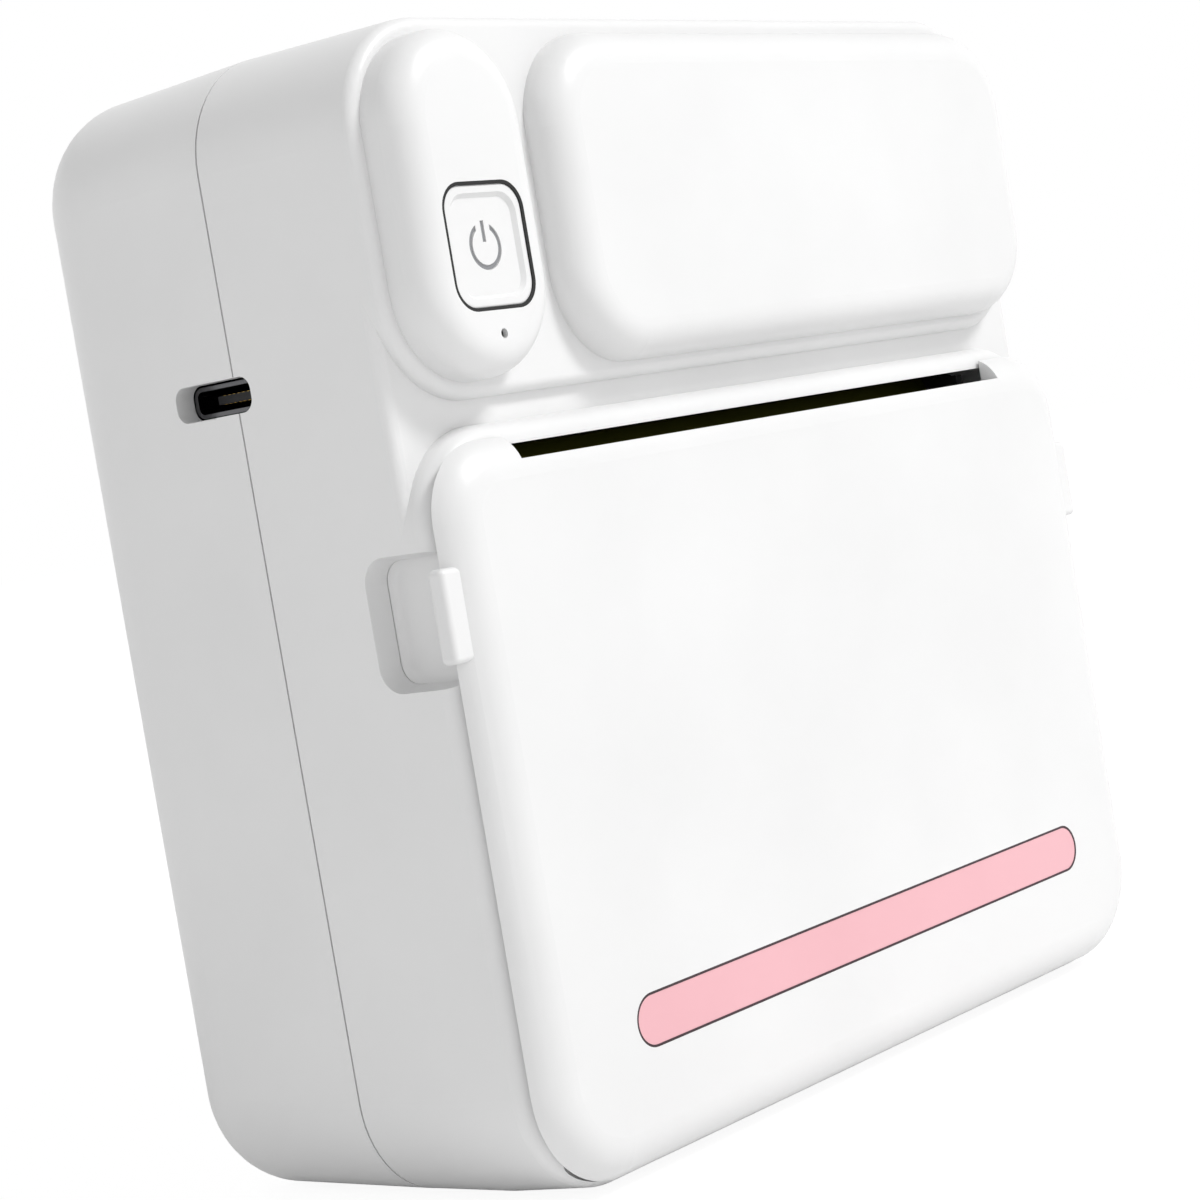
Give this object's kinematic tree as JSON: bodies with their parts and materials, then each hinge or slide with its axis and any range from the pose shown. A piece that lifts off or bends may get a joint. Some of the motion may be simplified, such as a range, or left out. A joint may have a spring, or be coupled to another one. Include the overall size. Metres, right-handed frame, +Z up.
{
  "type": "portable thermal printer",
  "caption": "Pocket thermal printer in a two-part rounded case, with a hinged front paper cover that carries the platen roller, a power button and a side charging port.",
  "frame": {"origin": "under the middle of the printer, on the surface it stands on", "axes": "+X to the printer's right seen from the front, +Y to its back, +Z up; the paper cover faces -Y"},
  "size_m": [0.0844, 0.0394, 0.085],
  "materials": {
    "white_shell": "satin moulded ABS",
    "pink_inlay": "satin moulded ABS",
    "black_frame": "glass-filled nylon",
    "white_gear": "acetal",
    "steel": "turned or stamped",
    "bright_steel": "plated",
    "roller_rubber": "ground silicone",
    "heat_plate": "extruded",
    "ceramic": "glazed alumina",
    "paper": "coated paper",
    "card": "pressed card",
    "board": "glass epoxy with solder mask",
    "chip": "moulded epoxy",
    "cell_wrap": "foil pouch",
    "foam": "adhesive foam",
    "clear_pipe": "clear acrylic"
  },
  "bodies": {
    "case": {"front_shell": "white_shell", "back_shell": "white_shell", "case_screws": "steel", "paper_tub": "black_frame", "mechanism_frame": "black_frame", "frame_screws": "steel", "tear_bar": "steel", "head_pin": "steel", "head_springs": "steel", "gear_axle": "steel", "motor_can": "bright_steel", "main_board": "board", "board_screws": "steel", "board_chips": "chip", "charging_socket": "bright_steel", "socket_tongue": "chip", "battery": "cell_wrap", "battery_pad": "foam", "switch_body": "chip", "switch_board": "board", "switch_screws": "steel", "status_light": "clear_pipe", "light_pipe": "clear_pipe"},
    "cover": {"paper_cover": "white_shell", "cover_stripe": "pink_inlay", "hinge_pins": "steel", "cover_liner": "black_frame", "liner_screws": "steel", "platen_bushes": "white_gear"},
    "platen": {"platen_shaft": "steel", "platen_rubber": "roller_rubber", "platen_gear": "white_gear"},
    "double_gear": {"reduction_gear": "white_gear"},
    "motor_rotor": {"motor_shaft": "steel", "motor_pinion": "steel"},
    "print_head": {"ceramic_head": "ceramic", "head_plate": "heat_plate"},
    "button": {"power_button": "white_shell"},
    "plunger": {"switch_plunger": "chip"},
    "roll": {"paper_roll": "paper", "roll_core": "card"}
  },
  "joints": [
    {"name": "cover_hinge", "type": "hinge", "parent": "case", "child": "cover", "pos_m": [0, -0.0168, 0.0032], "axis": [1, 0, 0], "range_deg": [0, 90]},
    {"name": "platen_spin", "type": "hinge", "parent": "cover", "child": "platen", "pos_m": [0, -0.0118, 0.0465], "axis": [1, 0, 0], "continuous": true},
    {"name": "reduction_spin", "type": "hinge", "parent": "case", "child": "double_gear", "pos_m": [0.0332, -0.00392, 0.04511], "axis": [1, 0, 0], "continuous": true},
    {"name": "motor_spin", "type": "hinge", "parent": "case", "child": "motor_rotor", "pos_m": [0.0332, 0.00654, 0.0442], "axis": [1, 0, 0], "continuous": true},
    {"name": "head_pivot", "type": "hinge", "parent": "case", "child": "print_head", "pos_m": [0, -0.00191, 0.04939], "axis": [-1, 0, 0], "range_deg": [0, 2.5], "stiffness_Nm_per_rad": 0.3, "springref_deg": -4.58, "deforming": ["head_springs"]},
    {"name": "button_press", "type": "slide", "parent": "case", "child": "button", "axis": [0, 1, 0], "range_m": [0, 0.0004], "stiffness_N_per_m": 500},
    {"name": "plunger_press", "type": "slide", "parent": "case", "child": "plunger", "axis": [0, 1, 0], "range_m": [0, 0.00045]},
    {"name": "roll_spin", "type": "hinge", "parent": "case", "child": "roll", "pos_m": [0, 0.0007, 0.0181], "axis": [1, 0, 0], "continuous": true}
  ],
  "couplings": [
    {"joint": "reduction_spin", "follows": "platen_spin", "ratio": -1.6667},
    {"joint": "motor_spin", "follows": "platen_spin", "ratio": 4.1667},
    {"joint": "plunger_press", "follows": "button_press", "ratio": 1}
  ]
}
